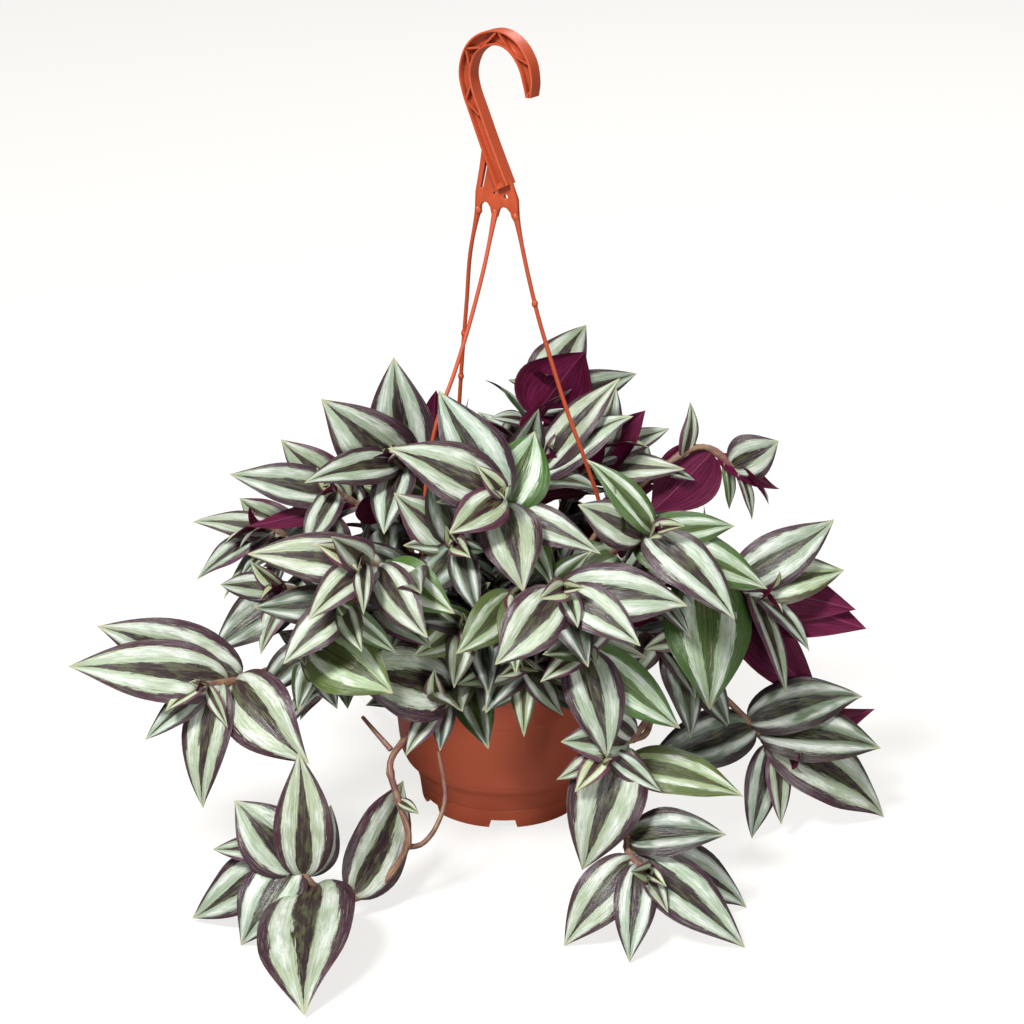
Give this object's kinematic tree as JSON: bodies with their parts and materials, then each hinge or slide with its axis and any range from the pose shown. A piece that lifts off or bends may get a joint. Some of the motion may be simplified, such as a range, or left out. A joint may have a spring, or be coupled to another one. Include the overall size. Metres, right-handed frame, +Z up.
{
  "type": "potted tradescantia in a hanging pot",
  "caption": "Trailing striped tradescantia in a terracotta plastic hanging pot with a moulded hook hanger, standing on a surface",
  "frame": {"origin": "on the surface that the pot stands on, on the pot's axis", "axes": "+Z up along the pot's axis, -Y to the front, +X to the right seen from the front"},
  "size_m": [0.481, 0.5163, 0.4775],
  "materials": {
    "pot_plastic": "satin",
    "hanger_plastic": "satin",
    "soil": "matte, crumbly",
    "foliage": "satin, striped"
  },
  "bodies": {
    "root": {"hanger": "hanger_plastic", "leafy_stem_centre_hang": "foliage", "leafy_stem_centre_low": "foliage", "leafy_stem_centre_low_left": "foliage", "leafy_stem_centre_right": "foliage", "leafy_stem_crown_back": "foliage", "leafy_stem_crown_far_right": "foliage", "leafy_stem_crown_front": "foliage", "leafy_stem_crown_left": "foliage", "leafy_stem_crown_right": "foliage", "leafy_stem_front_crown_low": "foliage", "leafy_stem_front_dark": "foliage", "leafy_stem_front_left": "foliage", "leafy_stem_front_left_low": "foliage", "leafy_stem_front_right": "foliage", "leafy_stem_front_right_low": "foliage", "leafy_stem_left_far": "foliage", "leafy_stem_left_green": "foliage", "leafy_stem_left_high": "foliage", "leafy_stem_left_olive": "foliage", "leafy_stem_right_front": "foliage", "leafy_stem_right_high": "foliage", "leafy_stem_right_low": "foliage", "leafy_stem_right_mid": "foliage", "leafy_stem_right_small": "foliage", "leafy_stem_ring_1_1": "foliage", "leafy_stem_ring_1_2": "foliage", "leafy_stem_ring_2_1": "foliage", "leafy_stem_ring_2_2": "foliage", "leafy_stem_ring_2_3": "foliage", "leafy_stem_ring_2_4": "foliage", "leafy_stem_ring_3_1": "foliage", "leafy_stem_ring_3_2": "foliage", "leafy_stem_ring_3_3": "foliage", "leafy_stem_ring_3_4": "foliage", "leafy_stem_ring_3_5": "foliage", "leafy_stem_ring_4_1": "foliage", "leafy_stem_ring_4_2": "foliage", "leafy_stem_ring_5_1": "foliage", "leafy_stem_ring_6_1": "foliage", "leafy_stem_ring_6_2": "foliage", "leafy_stem_ring_6_3": "foliage", "leafy_stem_ring_7_1": "foliage", "leafy_stem_ring_7_2": "foliage", "leafy_stem_ring_8_1": "foliage", "leafy_stem_trail_back_1": "foliage", "leafy_stem_trail_back_2": "foliage", "leafy_stem_trail_back_3": "foliage", "leafy_stem_trail_front": "foliage", "leafy_stem_trail_left": "foliage", "leafy_stem_trail_right": "foliage", "pot": "pot_plastic", "soil": "soil"}
  },
  "joints": []
}
